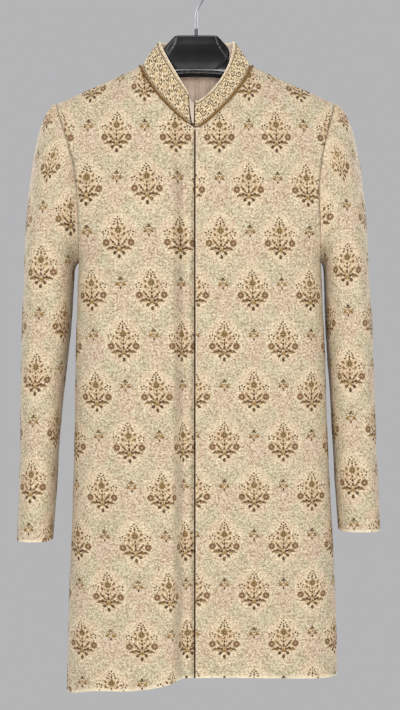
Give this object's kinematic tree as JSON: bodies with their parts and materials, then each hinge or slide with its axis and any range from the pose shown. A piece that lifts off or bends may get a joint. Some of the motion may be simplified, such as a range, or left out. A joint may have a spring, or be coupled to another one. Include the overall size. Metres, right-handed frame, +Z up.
{
  "type": "sherwani coat on a hanger",
  "caption": "Long straight coat with a worked stand collar, set-in sleeves and a hidden front closure, filled out on a moulded hanger with a wire hook.",
  "frame": {"origin": "inside of the hook's top, where the hook rests on a rail", "axes": "+Z up, -Y the coat's front, +X the wearer's left"},
  "size_m": [0.5919, 0.198, 1.1735],
  "materials": {
    "brocade": "ivory jacquard with bronze bouquets, soft sheen",
    "collar_work": "dense bead and thread work on ivory",
    "satin": "pinkish beige satin",
    "bronze_cord": "twisted bronze thread",
    "plastic": "glossy black, moulded",
    "wire": "bright drawn wire"
  },
  "bodies": {
    "root": {"front_right": "brocade", "front_left": "brocade", "back": "brocade", "sleeve_right": "brocade", "sleeve_left": "brocade", "collar": "collar_work", "collar_facing": "satin", "collar_tab": "satin", "back_lining": "satin", "collar_cord": "bronze_cord", "front_piping": "bronze_cord", "hanger_body": "plastic", "hanger_neck": "plastic", "hook_ferrule": "wire", "hook": "wire"}
  },
  "joints": []
}
